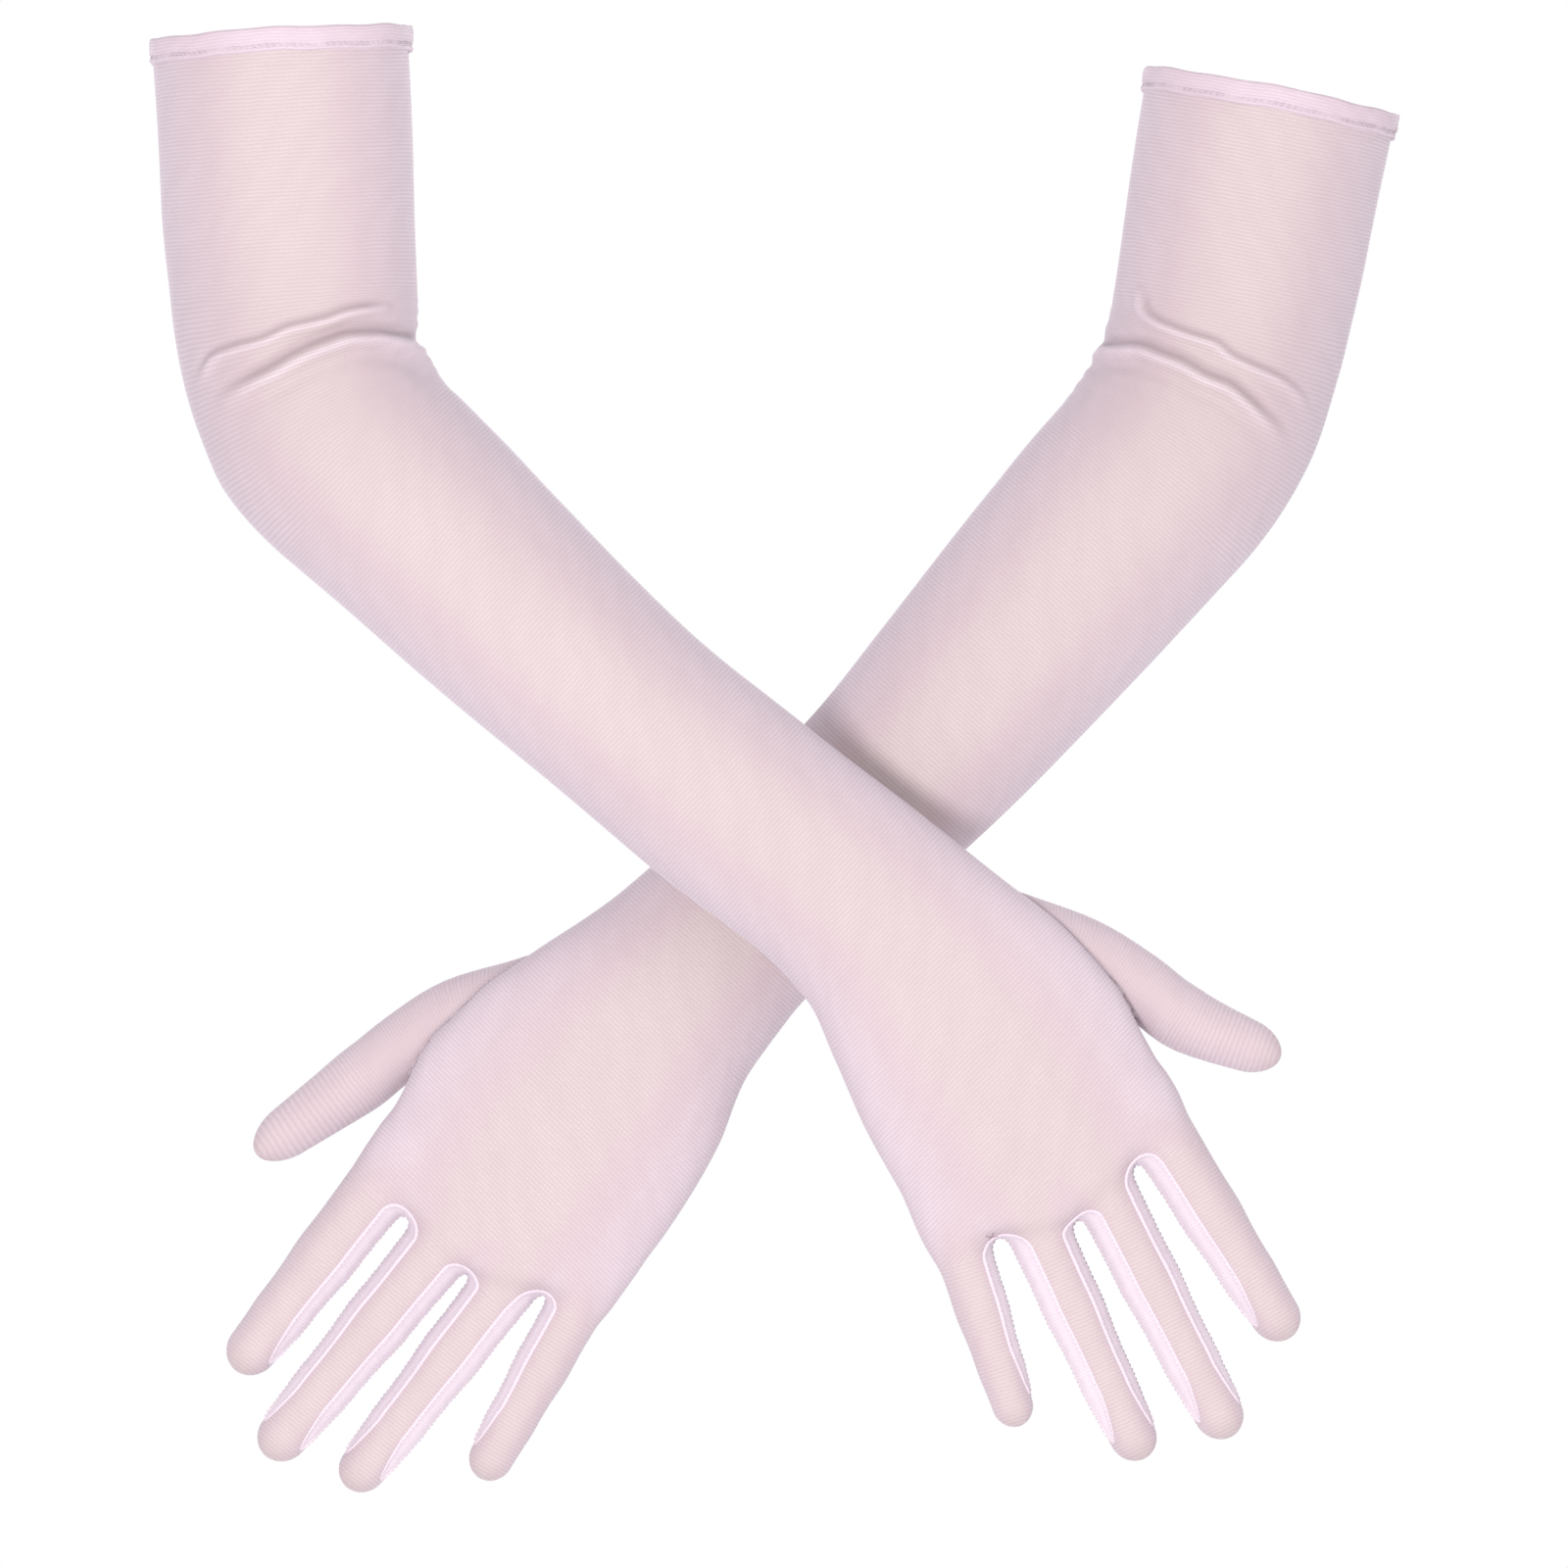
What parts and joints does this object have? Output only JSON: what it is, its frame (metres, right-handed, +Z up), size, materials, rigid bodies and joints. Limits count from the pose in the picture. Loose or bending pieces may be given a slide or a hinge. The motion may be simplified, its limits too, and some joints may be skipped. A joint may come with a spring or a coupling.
{
  "type": "pair of opera gloves",
  "caption": "Pair of sheer stretch-mesh opera gloves reaching over the elbow, turned hems, set-in thumbs and side strips between the fingers, held as worn with the forearms crossed.",
  "frame": {"origin": "centre of the left glove's arm opening, where the wearer's arm holds it up", "axes": "+Z up, along the longest extent; +Y away from the backs of the hands, front to back through both gloves; +X towards the left glove's upper arm"},
  "size_m": [0.3701, 0.1585, 0.431],
  "materials": {
    "mesh": "sheer fine-knit stretch mesh, pale pink, soft sheen",
    "fourchette": "the same mesh doubled, paler pink",
    "hem": "turned and stitched double mesh, brighter pink"
  },
  "bodies": {
    "left_upper": {"left_hem_band": "hem", "left_upper_sleeve": "mesh", "left_elbow_sleeve": "mesh"},
    "left_forearm": {"left_forearm_sleeve": "mesh", "left_wrist_sleeve": "mesh"},
    "left_hand": {"left_hand": "mesh", "left_knuckle_band": "mesh", "left_thumb_base": "mesh", "left_index_middle_crotch": "fourchette", "left_middle_ring_crotch": "fourchette", "left_ring_little_crotch": "fourchette"},
    "left_index": {"left_index_stall": "mesh", "left_index_fourchette_little_side": "fourchette"},
    "left_middle": {"left_middle_stall": "mesh", "left_middle_fourchette_thumb_side": "fourchette", "left_middle_fourchette_little_side": "fourchette"},
    "left_ring": {"left_ring_stall": "mesh", "left_ring_fourchette_thumb_side": "fourchette", "left_ring_fourchette_little_side": "fourchette"},
    "left_little": {"left_little_stall": "mesh", "left_little_fourchette_thumb_side": "fourchette"},
    "left_thumb": {"left_thumb_stall": "mesh"},
    "right_upper": {"right_hem_band": "hem", "right_upper_sleeve": "mesh", "right_elbow_sleeve": "mesh"},
    "right_forearm": {"right_forearm_sleeve": "mesh", "right_wrist_sleeve": "mesh"},
    "right_hand": {"right_hand": "mesh", "right_knuckle_band": "mesh", "right_thumb_base": "mesh", "right_index_middle_crotch": "fourchette", "right_middle_ring_crotch": "fourchette", "right_ring_little_crotch": "fourchette"},
    "right_index": {"right_index_stall": "mesh", "right_index_fourchette_little_side": "fourchette"},
    "right_middle": {"right_middle_stall": "mesh", "right_middle_fourchette_thumb_side": "fourchette", "right_middle_fourchette_little_side": "fourchette"},
    "right_ring": {"right_ring_stall": "mesh", "right_ring_fourchette_thumb_side": "fourchette", "right_ring_fourchette_little_side": "fourchette"},
    "right_little": {"right_little_stall": "mesh", "right_little_fourchette_thumb_side": "fourchette"},
    "right_thumb": {"right_thumb_stall": "mesh"}
  },
  "joints": [
    {"name": "left_elbow", "type": "hinge", "parent": "left_upper", "child": "left_forearm", "pos_m": [-0.0187, -0.0045, -0.0962], "axis": [0, 1, 0], "range_deg": [-30, 30], "deforming": ["left_elbow_sleeve"]},
    {"name": "left_wrist", "type": "hinge", "parent": "left_forearm", "child": "left_hand", "pos_m": [-0.17746, -0.02, -0.26946], "axis": [0.7132, 0, -0.7009], "range_deg": [-50, 60], "deforming": ["left_wrist_sleeve"]},
    {"name": "left_index_knuckle", "type": "hinge", "parent": "left_hand", "child": "left_index", "pos_m": [-0.2608, -0.02, -0.3208], "axis": [0.788, 0, -0.6157], "range_deg": [-10, 85], "deforming": ["left_knuckle_band"]},
    {"name": "left_middle_knuckle", "type": "hinge", "parent": "left_hand", "child": "left_middle", "pos_m": [-0.24294, -0.02, -0.33483], "axis": [0.7771, 0, -0.6293], "range_deg": [-10, 85]},
    {"name": "left_ring_knuckle", "type": "hinge", "parent": "left_hand", "child": "left_ring", "pos_m": [-0.22207, -0.02, -0.34484], "axis": [0.7934, 0, -0.6088], "range_deg": [-10, 85]},
    {"name": "left_little_knuckle", "type": "hinge", "parent": "left_hand", "child": "left_little", "pos_m": [-0.20264, -0.02, -0.35286], "axis": [0.866, 0, -0.5], "range_deg": [-10, 85]},
    {"name": "left_thumb_fold", "type": "hinge", "parent": "left_hand", "child": "left_thumb", "pos_m": [-0.25948, -0.011, -0.28658], "axis": [0.6225, 0, -0.7826], "range_deg": [0, 40], "deforming": ["left_thumb_base"]},
    {"name": "right_glove_draw", "type": "slide", "parent": "left_upper", "child": "right_upper", "axis": [0, -1, 0], "range_m": [0, 0.12]},
    {"name": "right_elbow", "type": "hinge", "parent": "right_upper", "child": "right_forearm", "pos_m": [-0.28758, -0.075, -0.09083], "axis": [0, 1, 0], "range_deg": [-30, 40], "deforming": ["right_elbow_sleeve"]},
    {"name": "right_wrist", "type": "hinge", "parent": "right_forearm", "child": "right_hand", "pos_m": [-0.1193, -0.0595, -0.25053], "axis": [0.7071, 0, 0.7071], "range_deg": [-50, 60], "deforming": ["right_wrist_sleeve"]},
    {"name": "right_index_knuckle", "type": "hinge", "parent": "right_hand", "child": "right_index", "pos_m": [-0.03474, -0.0595, -0.30473], "axis": [0.8572, 0, 0.515], "range_deg": [-10, 85], "deforming": ["right_knuckle_band"]},
    {"name": "right_middle_knuckle", "type": "hinge", "parent": "right_hand", "child": "right_middle", "pos_m": [-0.05243, -0.0595, -0.31763], "axis": [0.9026, 0, 0.4305], "range_deg": [-10, 85]},
    {"name": "right_ring_knuckle", "type": "hinge", "parent": "right_hand", "child": "right_ring", "pos_m": [-0.07387, -0.0595, -0.32712], "axis": [0.9171, 0, 0.3987], "range_deg": [-10, 85]},
    {"name": "right_little_knuckle", "type": "hinge", "parent": "right_hand", "child": "right_little", "pos_m": [-0.09363, -0.0595, -0.3344], "axis": [0.9537, 0, 0.3007], "range_deg": [-10, 85]},
    {"name": "right_thumb_fold", "type": "hinge", "parent": "right_hand", "child": "right_thumb", "pos_m": [-0.03713, -0.0505, -0.26694], "axis": [0.6157, 0, 0.788], "range_deg": [0, 40], "deforming": ["right_thumb_base"]}
  ]
}
